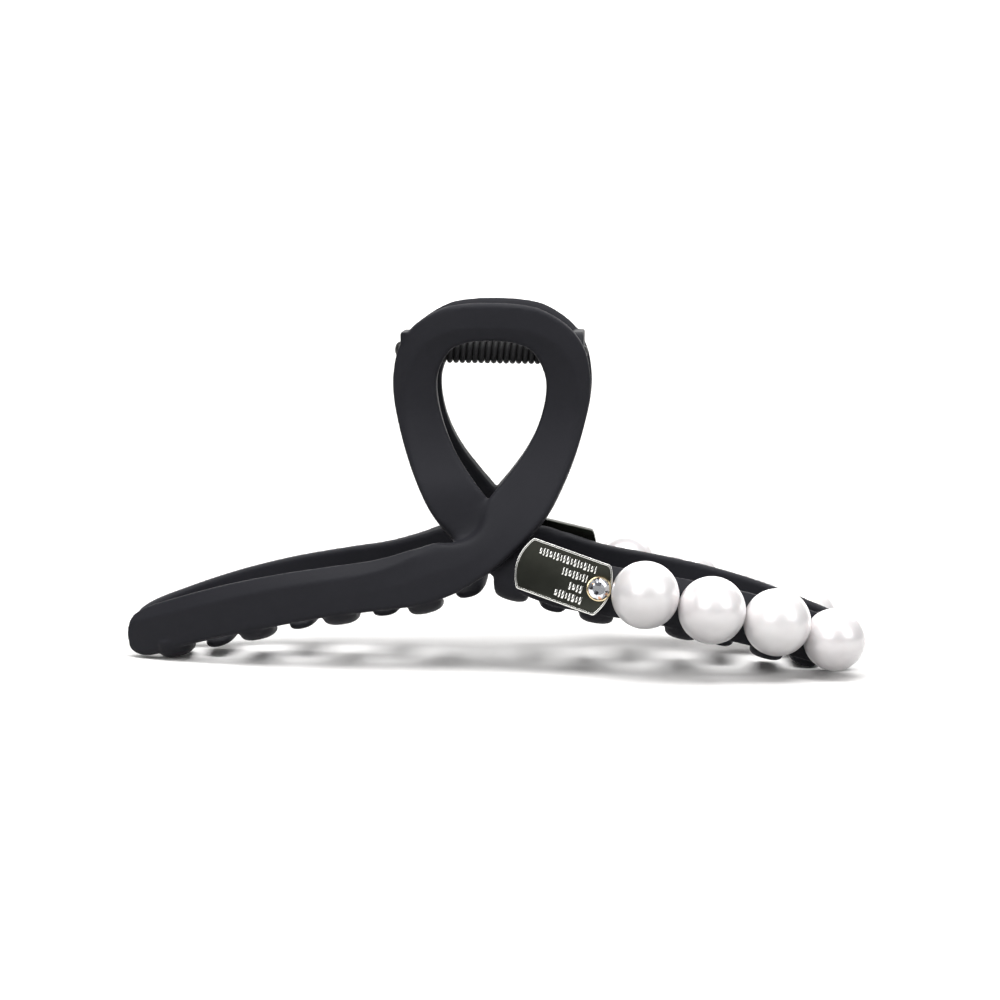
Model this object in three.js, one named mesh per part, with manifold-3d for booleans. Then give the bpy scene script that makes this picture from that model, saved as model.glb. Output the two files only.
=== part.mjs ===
// Claw clip for hair: two looped jaws, hinged on a steel pin and closed by a torsion spring,
// with a small dog tag and four pearls glued along one arm of each jaw.
// Millimetres, +Z up, +X along the clip, -Y towards the front jaw.
import * as THREE from 'three';
import { mergeVertices } from 'three/addons/utils/BufferGeometryUtils.js';
import Module from 'manifold-3d';

const wasm = await Module();
wasm.setup();

// ---- driving dimensions ----
const halfLength = 65;          // from the middle to the tip of an arm
const hingeHeight = 55.2;       // hinge axis above the lowest tooth line
const handleRise = 7.9;         // front edge of the handle above the hinge axis
const loopHalfWidth = 17.5;     // widest place of the loop, outside
const openingHalfWidth = 9.4;   // widest place of the finger opening
const bellyDepth = 15.1;        // outer face from the middle plane at the crossing
const tipDepth = 4.2;           // outer face from the middle plane at the arm tips
const waistDepth = 7.0;         // outer face from the middle plane at the waist of the loop
const waistShare = 0.8;         // height of the waist, as a share of the hinge height
const drawInFrom = 14;          // the face begins to draw in to the waist at this height
const drawInPast = 2;           // and has done so this far above the waist
const handleFlare = 4.6;        // how far the handle leans out above the waist
const strandThickness = 3.0;    // wall of the moulding
const underStep = 2.2;          // how far the strand underneath lies behind the one on top
const stepAlong = [6, 26];      // that step fades out between these distances from the middle
const stepTop = [23, 33];       // and between these heights
const underShift = 0.4;         // how far the inner edge of that strand is moved out at the crossing
const shiftBegins = [22, 28];   // heights between which the shift grows
const shiftEnds = [32, 42];     // and fades
const leastBevel = 0.5;         // bevel along the outer edges of a strand
const armBevel = 1.9;           // added to its upper bevel on the arm
const loopBevel = 3.0;          // added to its outer bevel on the loop
const backBevel = 0.45;         // bevel along the edges of its inner side
const gap = 0.3;                // clearance between pieces that touch

const toothPitch = 15.0;        // spacing of the teeth of one jaw
const toothCount = 8;           // teeth on one jaw
const toothOffset = 0.233;      // shift of the row, in pitches, so that the two rows interleave
const toothWidth = 6.4;         // width of a tooth at its root
const toothThickness = 2.9;     // thickness of a tooth at its root
const toothDrop = 2.4;          // how far the belly of a tooth hangs below the arm
const toothTipDrop = 3.4;       // and its tip, at the middle plane
const shallowTooth = 0.3;       // share of that drop that the outermost teeth lose
const shallowAlong = [0.69, 0.89];   // shares of the half length between which they lose it
const toothReach = 3.0;         // how far a tooth tip passes the middle plane
const steepestTooth = 0.25;     // largest sideways slope of a tooth, in radians
const toothRootFrom = 5;        // nearer the middle than this, a tooth hangs as it does here

const pinRadius = 1.1;          // hinge pin
const pinHeadRadius = 1.45;     // domed head of the pin
const pinHeadLength = 1.3;      // height of that head
const pinStandOut = 0.6;        // how far its plain end stands out of the right lug
const pinChamfer = 0.3;         // chamfer at that end
const lugRadius = 3.6;          // eye of a hinge lug
const lugThickness = 2.2;       // thickness of a lug
const lugOuterFace = 16.0;      // outer face of the outer lugs from the middle
const lugPlay = 0.4;            // between an outer lug and the inner lug beside it
const webAbove = 3.2;           // where the web of a lug meets the wall, above the hinge axis
const webBelow = 6.5;           // and below it
const webBite = 1.8;            // how deep the web runs into the wall

const wireRadius = 0.5;         // spring wire
const coilRadius = 1.78;        // spring, middle of the wire
const coilTurns = 18;           // turns of the spring
const springLegLength = 6.0;    // straight leg at each end of the spring
const springPlay = 0.1;         // further room for the ends of the spring

const tagLength = 17.2;         // dog tag
const tagHeight = 9.3;
const tagThickness = 1.3;
const tagEndBulge = 1.5;        // how far the short ends of the tag curve out
const tagCentre = 13.35;        // middle of the front tag along the clip
const tagRise = 17.0;           // middle of the front tag above the tooth line
const tagTilt = 18.8;           // slope of the front tag in degrees
const backTagCentre = 9.8;      // the same three for the back tag
const backTagRise = 18.25;
const backTagTilt = 13.0;
const rimWidth = 0.45;          // raised rim of the tag
const reliefHeight = 0.3;       // rim and bars above the field of the tag
const stoneRadius = 1.85;       // crystal, at its girdle
const stoneInset = 2.15;        // middle of the crystal from the outer end of the tag
const stoneRise = 0.1;          // and above the tag's long axis
const cupWall = 0.25;           // metal cup around the crystal
const cupSink = 0.35;           // how deep the seat of the cup is cut into the tag

const pearlRadius = 5.78;       // the three large pearls of a row
const endPearlRadius = 5.4;     // the smaller pearl at the tip
const pearlCount = 4;           // pearls in a row
const rowStart = 21.37;         // inner end of the front row of pearls, along the clip
const backRowShift = -3.7;      // the back pearls sit this much nearer the middle
const frontLift = [0.45, 0.15, 0.65, 0.2];   // set by hand: each pearl's height off the arm's middle
const backLift = [-0.6, -0.8, -1.9, -1.1];   // the same for the back row
const pearlSeat = 0.88;         // share of the pearl's radius that stands off the arm
const middleShare = 0.56;       // height of an arm's middle line, between its lower and upper edge

const plastic = { color: 0x2a2a2e, roughness: 0.55, metalness: 0.0 };
const blackSteel = { color: 0x17181a, roughness: 0.4, metalness: 0.6 };
const silver = { color: 0x8f9088, roughness: 0.2, metalness: 1.0 };
const gold = { color: 0xb9a27a, roughness: 0.25, metalness: 1.0 };
const crystal = { color: 0xe6e8ec, roughness: 0.05, metalness: 0.1 };
const pearlWhite = { color: 0xf0ece9, roughness: 0.25, metalness: 0.0 };

// ---- solids ----
function signedVolume(geometry) {
  const p = geometry.attributes.position;
  const a = new THREE.Vector3();
  const b = new THREE.Vector3();
  const c = new THREE.Vector3();
  let sum = 0;
  for (let i = 0; i < geometry.index.count; i += 3) {
    a.fromBufferAttribute(p, geometry.index.getX(i));
    b.fromBufferAttribute(p, geometry.index.getX(i + 1));
    c.fromBufferAttribute(p, geometry.index.getX(i + 2));
    sum += a.dot(b.cross(c)) / 6;
  }
  return sum;
}

function closed(geometry) {
  const copy = geometry.clone();
  copy.deleteAttribute('normal');
  copy.deleteAttribute('uv');
  const merged = mergeVertices(copy, 1e-4);
  if (signedVolume(merged) < 0) {
    const index = Array.from(merged.index.array);
    merged.setIndex(index.reverse());
  }
  return merged;
}

function toSolid(geometry) {
  const merged = closed(geometry);
  return new wasm.Manifold(new wasm.Mesh({
    numProp: 3,
    vertProperties: new Float32Array(merged.attributes.position.array),
    triVerts: new Uint32Array(merged.index.array),
  }));
}

function toGeometry(solid) {
  const mesh = solid.getMesh();
  const geometry = new THREE.BufferGeometry();
  geometry.setAttribute('position', new THREE.BufferAttribute(new Float32Array(mesh.vertProperties), 3));
  geometry.setIndex(new THREE.BufferAttribute(new Uint32Array(mesh.triVerts), 1));
  geometry.computeVertexNormals();
  return geometry;
}

// A closed bar with any section: a cylinder whose rings are moved to the given sections.
function loft(sections) {
  const sides = sections[0].length;
  const steps = sections.length - 1;
  const geometry = closed(new THREE.CylinderGeometry(1, 1, 1, sides, steps, false));
  const p = geometry.attributes.position;
  for (let i = 0; i < p.count; i++) {
    const ring = Math.round((0.5 - p.getY(i)) * steps);
    const section = sections[ring];
    const place = new THREE.Vector3();
    if (Math.hypot(p.getX(i), p.getZ(i)) < 0.5) {
      section.forEach((point) => place.addScaledVector(point, 1 / sides));
    } else {
      const turn = Math.atan2(p.getX(i), p.getZ(i)) / (2 * Math.PI);
      place.copy(section[(Math.round(turn * sides) + sides) % sides]);
    }
    p.setXYZ(i, place.x, place.y, place.z);
  }
  return closed(geometry);
}

// ---- the moulded surface of a jaw ----
const bellyTop = 24;            // the arms end and the loop begins at this height

function smooth(a, b, x) {
  const t = Math.min(1, Math.max(0, (x - a) / (b - a)));
  return t * t * (3 - 2 * t);
}

// Distance of the outer face from the middle plane.
function faceDepth(x, z) {
  const along = Math.min(1.06, Math.abs(x) / halfLength);
  const arm = bellyDepth - (bellyDepth - tipDepth) * Math.pow(along, 3.2);
  const waistHeight = waistShare * hingeHeight;
  const waist = (bellyDepth - waistDepth) * smooth(drawInFrom, waistHeight + drawInPast, z);
  const lean = Math.max(0, z - waistHeight);
  const flare = handleFlare * Math.pow(lean / (hingeHeight + handleRise - waistHeight), 2);
  return arm - waist + flare;
}

// Outward direction of the face, towards -Y.
function faceNormal(x, z) {
  const e = 0.05;
  const dx = (faceDepth(x + e, z) - faceDepth(x - e, z)) / (2 * e);
  const dz = (faceDepth(x, z + e) - faceDepth(x, z - e)) / (2 * e);
  return new THREE.Vector3(-dx, -1, -dz).normalize();
}

// How far the strand underneath lies behind the face, along its run.
function stepBack(x, z) {
  const nearCrossing = 1 - smooth(...stepAlong, Math.abs(x));
  const belowLoop = 1 - smooth(...stepTop, z);
  return underStep * nearCrossing * belowLoop;
}

// The two edges of a strand are drawn for these sizes, and stretched to the driving ones.
const drawnHalfLength = 65;
const drawnLoopHalfWidth = 17.5;
const drawnOpeningHalfWidth = 9.4;
const drawnHingeHeight = 55.2;
const drawnHandleRise = 7.9;
const armScale = halfLength / drawnHalfLength;
const widthScale = loopHalfWidth / drawnLoopHalfWidth;
const openingScale = openingHalfWidth / drawnOpeningHalfWidth;

function lift(z) {
  if (z <= bellyTop) {
    return z;
  }
  if (z <= drawnHingeHeight) {
    const share = (z - bellyTop) / (drawnHingeHeight - bellyTop);
    return bellyTop + share * (hingeHeight - bellyTop);
  }
  return hingeHeight + (z - drawnHingeHeight) * handleRise / drawnHandleRise;
}

function rail(points, scaleOf) {
  const placed = points.map(([x, z]) => new THREE.Vector3(x * scaleOf(z), 0, lift(z)));
  return new THREE.CatmullRomCurve3(placed, false, 'centripetal');
}

// Upper edge of the left arm, up the right side of the opening, to the top of the opening.
const upperRail = rail([
  [-65.2, 4.3], [-64.8, 6.7], [-63.1, 8.3], [-55.9, 11.1], [-46.4, 14.0], [-37.3, 16.3], [-28.4, 18.0],
  [-19.6, 19.55], [-13.4, 21.4], [-9.4, 22.8], [-6.2, 22.8], [-3.8, 23.4], [-2.0, 24.7],
  [-1.0, 26.8], [-0.5, 29.4], [2.35, 33.2], [5.3, 37.1], [7.3, 40.5], [8.7, 44.0],
  [9.5, 47.4], [9.55, 50.6], [8.6, 53.4], [6.9, 55.75], [4.2, 56.9], [2.0, 57.2], [0.0, 57.25],
], (z) => (z > bellyTop + 6 ? openingScale : armScale));

// Lower edge of the left arm, up the outside of the loop, to the top of the handle.
const lowerRail = rail([
  [-65.2, 3.3], [-64.6, 0.9], [-62.0, 0.1], [-54.5, 2.5], [-45.6, 5.0], [-37.0, 7.1], [-28.2, 9.0],
  [-19.6, 10.3], [-12.2, 11.4], [-8.8, 12.4], [-5.4, 13.8], [-2.6, 15.5], [0.4, 17.6],
  [3.5, 20.2], [6.8, 23.4], [10.3, 27.8], [12.9, 32.8], [14.9, 37.8], [16.3, 42.4],
  [17.25, 46.8], [17.4, 50.8], [16.4, 55.4], [13.8, 59.0], [8.6, 62.1], [4.2, 62.9], [0.0, 63.1],
], (z) => (z > bellyTop ? widthScale : armScale));

const strandSteps = 50;

// One strand, from an arm tip to the top of the handle. side 1 starts at the left arm.
function strand(side, steps, under) {
  const sections = [];
  for (let i = 0; i <= steps; i++) {
    const t = i / steps;
    const upper = upperRail.getPoint(t);
    const lower = lowerRail.getPoint(t);
    if (under) {
      upper.x += underShift * smooth(...shiftBegins, upper.z) * (1 - smooth(...shiftEnds, upper.z));
    }
    const width = upper.distanceTo(lower);
    const onArm = 1 - smooth(0.25, 0.385, t);
    const onLoop = smooth(0.6, 0.93, t);
    const upperBevel = Math.min(0.3 * width, leastBevel + armBevel * onArm * smooth(0.0, 0.12, t));
    const lowerBevel = Math.min(0.55 * width, leastBevel + loopBevel * onLoop);
    const back = Math.min(backBevel, 0.2 * width);
    const wall = strandThickness * (0.75 + 0.25 * smooth(0.0, 0.08, t));
    const profile = [
      [upperBevel, 0],
      [width - lowerBevel, 0],
      [width, 0.35 + 0.34 * lowerBevel],
      [width, wall - back],
      [width - back, wall],
      [back, wall],
      [0, wall - back],
      [0, 0.2 + 0.5 * upperBevel],
    ];
    sections.push(profile.map(([across, inward]) => {
      const place = upper.clone().lerp(lower, across / width);
      place.x *= side;
      // the two strands meet 0.05 past the middle, so that they join
      if (i === steps) {
        place.x -= 0.05 * side;
      }
      const recess = under ? stepBack(place.x, place.z) : 0;
      const normal = faceNormal(place.x, place.z);
      place.y = -(faceDepth(place.x, place.z) - recess);
      return place.addScaledVector(normal, -inward);
    }));
  }
  return toSolid(loft(sections));
}

// Place on the lower edge of an arm, at that distance along the clip.
function lowerEdgeShare(x) {
  const target = -Math.abs(x);
  let low = 0;
  let high = 0.55;
  for (let i = 0; i < 30; i++) {
    const middle = (low + high) / 2;
    if (lowerRail.getPoint(middle).x < target) {
      low = middle;
    } else {
      high = middle;
    }
  }
  return low;
}

function lowerEdgeHeight(x) {
  return lowerRail.getPoint(lowerEdgeShare(x)).z;
}

// Slope of a tooth: that of the arm it hangs from.
function toothSlope(x) {
  const along = lowerRail.getTangent(lowerEdgeShare(x));
  const slope = Math.min(steepestTooth, Math.atan2(along.z, along.x));
  return x < 0 ? slope : -slope;
}

// A curved tongue from the lower edge of the arm, down and in to the middle plane.
function tooth(x) {
  const root = lowerEdgeHeight(Math.max(toothRootFrom, Math.abs(x)));
  const hang = 1 - shallowTooth * smooth(...shallowAlong, Math.abs(x) / halfLength);
  const under = x > 0 ? stepBack(x, root) : 0;
  const depth = faceDepth(x, root) - under - strandThickness / 2;
  const path = new THREE.CubicBezierCurve3(
    new THREE.Vector3(x, -depth, root + 1.6),
    new THREE.Vector3(x, -depth, root - 1.4),
    new THREE.Vector3(x, -depth * 0.62, root - hang * toothDrop + toothThickness * 0.4),
    new THREE.Vector3(x, toothReach, root - hang * toothTipDrop + toothThickness * 0.42),
  );
  const slope = toothSlope(x);
  const sideways = new THREE.Vector3(Math.cos(slope), 0, Math.sin(slope));
  const sections = [];
  const steps = 6;
  for (let i = 0; i <= steps; i++) {
    const t = i / steps;
    const point = path.getPoint(t);
    const normal = path.getTangent(t).cross(sideways).normalize();
    const tip = Math.sqrt(Math.max(0.0, 1 - Math.pow(t, 9)));
    const half = (toothWidth / 2) * (1 - 0.1 * t) * (0.45 + 0.55 * tip);
    const thick = (toothThickness / 2) * (1 - 0.2 * t) * (0.5 + 0.5 * tip);
    const profile = [
      [half, 0], [0.72 * half, 0.85], [-0.72 * half, 0.85],
      [-half, 0], [-0.72 * half, -0.85], [0.72 * half, -0.85],
    ];
    sections.push(profile.map(([across, up]) => (
      point.clone().addScaledVector(sideways, across).addScaledVector(normal, up * thick)
    )));
  }
  return toSolid(loft(sections));
}

// A hinge eye with the web that ties it to the inner face of the loop.
function lug(from, to) {
  const x = (from + to) / 2;
  const web = new THREE.Shape();
  const inWall = strandThickness - webBite;
  web.moveTo(inWall - faceDepth(x, hingeHeight + webAbove), hingeHeight + lugRadius);
  web.lineTo(0, hingeHeight + lugRadius);
  web.absarc(0, hingeHeight, lugRadius, Math.PI / 2, -Math.PI / 3, true);
  web.lineTo(inWall - faceDepth(x, hingeHeight - webBelow), hingeHeight - webBelow);
  web.lineTo(inWall - faceDepth(x, hingeHeight), hingeHeight);
  web.closePath();
  const eye = new THREE.ExtrudeGeometry(web, { depth: to - from, bevelEnabled: false, curveSegments: 8 });
  eye.applyMatrix4(new THREE.Matrix4().makeBasis(
    new THREE.Vector3(0, 1, 0), new THREE.Vector3(0, 0, 1), new THREE.Vector3(1, 0, 0)));
  eye.translate(from, 0, 0);
  return toSolid(eye);
}

function rod(radius, length, sides) {
  const bar = new THREE.CylinderGeometry(radius, radius, length, sides);
  bar.rotateZ(Math.PI / 2);
  return bar;
}

// left face of the inner lug
const innerFrom = lugOuterFace - 2 * lugThickness - lugPlay;

// The moulding of the front jaw; the back one is the same piece turned half round.
function jaw() {
  let body = strand(1, strandSteps, false).add(strand(-1, strandSteps, true));
  body = body.add(lug(-lugOuterFace, -lugOuterFace + lugThickness));
  body = body.add(lug(innerFrom, innerFrom + lugThickness));
  for (let i = 0; i < toothCount; i++) {
    const x = (i - (toothCount - 1) / 2 - toothOffset) * toothPitch;
    body = body.add(tooth(x));
  }
  const bore = rod(pinRadius + gap, 3 * lugOuterFace, 16);
  bore.translate(0, 0, hingeHeight);
  return body.subtract(toSolid(bore));
}

// ---- group ----
const group = new THREE.Group();

function add(name, geometry, look) {
  const mesh = new THREE.Mesh(geometry, new THREE.MeshStandardMaterial(look));
  mesh.name = name;
  group.add(mesh);
  return mesh;
}

const jawGeometry = toGeometry(jaw());
add('front_jaw', jawGeometry, plastic);
const backJaw = add('back_jaw', jawGeometry.clone(), plastic);
backJaw.rotation.z = Math.PI;

// Hinge pin: a plain steel pin with one domed head, outside the left lug.
const pinProfile = [
  new THREE.Vector2(0, -lugOuterFace - gap - pinHeadLength),
  new THREE.Vector2(0.55 * pinHeadRadius, -lugOuterFace - gap - 0.85 * pinHeadLength),
  new THREE.Vector2(pinHeadRadius, -lugOuterFace - gap - 0.35 * pinHeadLength),
  new THREE.Vector2(pinHeadRadius, -lugOuterFace - gap),
  new THREE.Vector2(pinRadius, -lugOuterFace - gap),
  new THREE.Vector2(pinRadius, lugOuterFace + pinStandOut - pinChamfer),
  new THREE.Vector2(pinRadius - pinChamfer, lugOuterFace + pinStandOut),
  new THREE.Vector2(0, lugOuterFace + pinStandOut),
];
const pin = new THREE.LatheGeometry(pinProfile, 14);
pin.rotateZ(-Math.PI / 2);
pin.translate(0, 0, hingeHeight);
add('hinge_pin', closed(pin), blackSteel);

// Torsion spring: a close coil round the pin, with one leg behind each handle.
const coilHalf = innerFrom - gap - wireRadius - springPlay;
const stepsPerTurn = 12;
const springPoints = [];
const legTop = hingeHeight + springLegLength;
const handleWall = strandThickness * 1.12;  // measured level, through the leaning handle
const legStand = faceDepth(coilHalf, legTop) - handleWall - wireRadius - gap - springPlay;
const legHalfway = (legStand + coilRadius) / 2;
const halfwayUp = hingeHeight + springLegLength / 2;
springPoints.push(new THREE.Vector3(-coilHalf, legStand, legTop));
springPoints.push(new THREE.Vector3(-coilHalf, legHalfway, halfwayUp));
for (let i = 0; i <= coilTurns * stepsPerTurn + stepsPerTurn / 2; i++) {
  const turn = i / stepsPerTurn;
  const angle = -turn * 2 * Math.PI;
  springPoints.push(new THREE.Vector3(
    -coilHalf + 2 * coilHalf * turn / (coilTurns + 0.5),
    coilRadius * Math.cos(angle),
    hingeHeight + coilRadius * Math.sin(angle),
  ));
}
springPoints.push(new THREE.Vector3(coilHalf, -legHalfway, halfwayUp));
springPoints.push(new THREE.Vector3(coilHalf, -legStand, legTop));

function wire(points, radius, sides) {
  const sections = points.map((point, i) => {
    const before = points[Math.max(0, i - 1)];
    const after = points[Math.min(points.length - 1, i + 1)];
    const along = after.clone().sub(before).normalize();
    const across = new THREE.Vector3(1, 0, 0).addScaledVector(along, -along.x).normalize();
    const other = new THREE.Vector3().crossVectors(along, across);
    const ring = [];
    for (let s = 0; s < sides; s++) {
      const a = 2 * Math.PI * s / sides;
      ring.push(point.clone()
        .addScaledVector(across, radius * Math.cos(a))
        .addScaledVector(other, radius * Math.sin(a)));
    }
    return ring;
  });
  return loft(sections);
}
add('torsion_spring', wire(springPoints, wireRadius, 5), blackSteel);

// ---- decoration, drawn on the front jaw; the back row is its mirror image in the middle plane ----
function tagOutline(inset) {
  const halfLong = tagLength / 2 - tagEndBulge;
  const halfHigh = tagHeight / 2 - inset;
  const shape = new THREE.Shape();
  shape.moveTo(-halfLong + 0.4 * inset, -halfHigh);
  shape.lineTo(halfLong - 0.4 * inset, -halfHigh);
  shape.quadraticCurveTo(tagLength / 2 + tagEndBulge - 1.3 * inset, 0, halfLong - 0.4 * inset, halfHigh);
  shape.lineTo(-halfLong + 0.4 * inset, halfHigh);
  shape.quadraticCurveTo(-tagLength / 2 - tagEndBulge + 1.3 * inset, 0, -halfLong + 0.4 * inset, -halfHigh);
  return shape;
}

function plate(shape, from, to) {
  const body = new THREE.ExtrudeGeometry(shape, { depth: to - from, bevelEnabled: false, curveSegments: 7 });
  body.translate(0, 0, from);
  return toSolid(body);
}

// Local frame of the tag: X along it, Y across it, Z out of its face.
const stoneAlong = tagLength / 2 - stoneInset;
const cupRadius = stoneRadius + gap + cupWall;
const field = tagThickness - reliefHeight;
const barHeight = 0.14 * tagHeight;

// Raised bars: middle along the tag, middle across it, and length, as shares of the tag.
const bars = [
  [-0.01, 0.32, 0.61],
  [0.125, 0.1, 0.3],
  [0.175, -0.12, 0.175],
  [0.125, -0.32, 0.3],
];

function tagSolid(boss) {
  let body = plate(tagOutline(0), 0, tagThickness);
  body = body.subtract(plate(tagOutline(rimWidth), field, tagThickness + 1));
  bars.forEach(([along, across, length]) => {
    const bar = new THREE.BoxGeometry(length * tagLength, barHeight, 2 * reliefHeight);
    bar.translate(along * tagLength, across * tagHeight, field);
    body = body.add(toSolid(bar));
  });
  const seat = new THREE.CylinderGeometry(cupRadius + gap, cupRadius + gap, 2, 16);
  seat.rotateX(Math.PI / 2);
  seat.translate(stoneAlong, stoneRise, field + 1 - cupSink);
  body = body.subtract(toSolid(seat));
  const pad = new THREE.BoxGeometry(0.5 * tagLength, 0.5 * tagHeight, boss);
  pad.translate(0, 0, 0.1 - boss / 2);
  return body.add(toSolid(pad));
}

const cupDepth = 1.3;
const cupFloor = 0.45;
const cupTaper = 0.25;

function cupSolid() {
  const outer = new THREE.CylinderGeometry(cupRadius, cupRadius - cupTaper, cupDepth, 16);
  outer.rotateX(Math.PI / 2);
  outer.translate(0, 0, cupDepth / 2);
  const room = stoneRadius + gap;
  const inner = new THREE.CylinderGeometry(room, room - cupTaper, cupDepth, 16);
  inner.rotateX(Math.PI / 2);
  inner.translate(0, 0, cupFloor + cupDepth / 2);
  return toSolid(outer).subtract(toSolid(inner));
}

// half profile of the crystal: flat foiled back, girdle, crown with a flat table
const stoneProfile = [
  new THREE.Vector2(0, 0),
  new THREE.Vector2(0.5 * stoneRadius, 0),
  new THREE.Vector2(stoneRadius, 0.75),
  new THREE.Vector2(stoneRadius, 0.95),
  new THREE.Vector2(0.58 * stoneRadius, 1.65),
  new THREE.Vector2(0, 1.65),
];

// Turns a local frame (X along, Y up the face, Z outward) into its place on a jaw.
function setOnJaw(geometry, x, z, standOff, tilt, side) {
  const normal = faceNormal(x, z);
  const along = new THREE.Vector3(1, 0, 0).addScaledVector(normal, -normal.x).normalize();
  const up = new THREE.Vector3().crossVectors(normal, along);
  const turn = THREE.MathUtils.degToRad(tilt);
  const a = along.clone().multiplyScalar(Math.cos(turn)).addScaledVector(up, -Math.sin(turn));
  const b = up.clone().multiplyScalar(Math.cos(turn)).addScaledVector(along, Math.sin(turn));
  const frame = new THREE.Matrix4().makeBasis(a, b, normal);
  frame.setPosition(new THREE.Vector3(x, -faceDepth(x, z), z).addScaledVector(normal, standOff));
  const placed = geometry.clone();
  placed.applyMatrix4(frame);
  if (side < 0) {
    placed.scale(1, -1, 1);
  }
  return closed(placed);
}

function armMiddle(x) {
  let t = 0;
  while (upperRail.getPoint(t).x < -x && t < 0.6) {
    t += 0.002;
  }
  return THREE.MathUtils.lerp(lowerEdgeHeight(x), upperRail.getPoint(t).z, middleShare);
}

const thinBoss = 0.15;          // glue land on the back of a tag that lies flat on its arm
const rows = [
  ['front', 1, tagCentre, tagRise, tagTilt, 0, frontLift],
  ['back', -1, backTagCentre, backTagRise, backTagTilt, backRowShift, backLift],
];
rows.forEach(([name, side, tagX, tagZ, tilt, shift, pearlLift]) => {
  // the front row sits on the strand underneath, the back row on the one on top
  const recess = (x, z) => (side > 0 ? stepBack(x, z) : 0);
  const boss = Math.max(thinBoss, 0.7 * recess(tagX, tagZ));
  add(name + '_tag', setOnJaw(toGeometry(tagSolid(boss)), tagX, tagZ, gap, tilt, side), silver);

  const moved = (geometry, out) => {
    const copy = geometry.clone();
    copy.deleteAttribute('normal');
    copy.deleteAttribute('uv');
    copy.translate(stoneAlong, stoneRise, out);
    return setOnJaw(copy, tagX, tagZ, gap, tilt, side);
  };
  const cupBottom = field - cupSink + gap;
  add(name + '_stone_cup', moved(toGeometry(cupSolid()), cupBottom), gold);
  const stone = new THREE.LatheGeometry(stoneProfile, 12);
  stone.rotateX(Math.PI / 2);
  add(name + '_stone', moved(closed(stone), cupBottom + cupFloor + gap), crystal);

  const standOff = (x, radius) => radius * pearlSeat + gap - recess(x, armMiddle(x));
  const pearlCentre = (x, radius, rise) => {
    const z = armMiddle(x) + rise;
    const centre = new THREE.Vector3(x, -faceDepth(x, z), z);
    return centre.addScaledVector(faceNormal(x, z), standOff(x, radius));
  };
  let x = rowStart + pearlRadius + shift;
  for (let i = 0; i < pearlCount; i++) {
    const radius = i === pearlCount - 1 ? endPearlRadius : pearlRadius;
    const ball = new THREE.SphereGeometry(radius, 14, 10);
    ball.rotateX(Math.PI / 2);
    const cut = new THREE.BoxGeometry(4 * radius, 4 * radius, radius);
    cut.translate(0, 0, -radius * pearlSeat - radius / 2);
    const pearl = toGeometry(toSolid(ball).subtract(toSolid(cut)));
    const rise = pearlLift[i % pearlLift.length];
    const placed = setOnJaw(pearl, x, armMiddle(x) + rise, standOff(x, radius), 0, side);
    add(name + '_pearl_' + (i + 1), placed, pearlWhite);
    const next = i + 1 === pearlCount - 1 ? endPearlRadius : pearlRadius;
    const nextRise = pearlLift[(i + 1) % pearlLift.length];
    const here = pearlCentre(x, radius, rise);
    while (pearlCentre(x, next, nextRise).distanceTo(here) < radius + next + gap) {
      x += 0.02;
    }
  }
});

// stand the clip on its lowest teeth, with the middle of its length and depth at the origin
const box = new THREE.Box3().setFromObject(group);
const centre = box.getCenter(new THREE.Vector3());
group.position.set(-centre.x, -centre.y, -box.min.z);
group.updateMatrixWorld(true);

export default group;
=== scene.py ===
import math

import bpy
import numpy as np
from mathutils import Matrix, Vector


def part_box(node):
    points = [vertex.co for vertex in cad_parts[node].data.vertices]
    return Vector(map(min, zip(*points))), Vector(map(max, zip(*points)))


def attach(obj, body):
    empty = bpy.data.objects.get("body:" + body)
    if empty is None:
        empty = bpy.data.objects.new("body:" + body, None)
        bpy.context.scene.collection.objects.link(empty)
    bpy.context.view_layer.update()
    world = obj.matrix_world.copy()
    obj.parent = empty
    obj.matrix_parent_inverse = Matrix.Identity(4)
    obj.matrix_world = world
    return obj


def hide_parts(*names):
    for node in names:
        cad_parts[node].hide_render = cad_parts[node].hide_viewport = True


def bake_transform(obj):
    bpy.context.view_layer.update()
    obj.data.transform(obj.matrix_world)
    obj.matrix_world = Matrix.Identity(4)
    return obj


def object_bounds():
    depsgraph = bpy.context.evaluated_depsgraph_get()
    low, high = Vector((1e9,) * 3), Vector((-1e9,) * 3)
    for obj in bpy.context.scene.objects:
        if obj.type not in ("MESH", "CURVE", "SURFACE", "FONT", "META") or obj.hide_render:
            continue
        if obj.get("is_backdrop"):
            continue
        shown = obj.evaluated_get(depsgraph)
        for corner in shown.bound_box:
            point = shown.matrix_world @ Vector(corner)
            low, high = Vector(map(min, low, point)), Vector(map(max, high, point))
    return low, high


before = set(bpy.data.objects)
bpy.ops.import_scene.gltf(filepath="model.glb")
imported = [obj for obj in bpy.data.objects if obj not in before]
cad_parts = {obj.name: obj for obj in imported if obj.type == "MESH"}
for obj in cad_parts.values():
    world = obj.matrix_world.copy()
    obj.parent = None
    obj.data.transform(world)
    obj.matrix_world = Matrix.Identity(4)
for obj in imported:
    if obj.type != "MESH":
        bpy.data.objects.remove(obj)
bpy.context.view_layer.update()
bpy.ops.object.select_all(action="DESELECT")

# ---------------------------------------------------------------------------------------------
# Jaws: two copies of one injection moulding in soft-touch black plastic. Each is a ribbon from one
# arm tip, up round the finger opening and out by the other arm, with teeth and two hinge lugs.
# Drawn in millimetres from the middle of the clip, then placed in the frame.
# ---------------------------------------------------------------------------------------------
mm = 0.001
jaw_low, jaw_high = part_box("front_jaw")
pin_low, pin_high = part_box("hinge_pin")
clip_middle = (jaw_low.x + jaw_high.x) / 2
hinge_line = (pin_low.z + pin_high.z) / 2
middle_plane = (pin_low.y + pin_high.y) / 2

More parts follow.
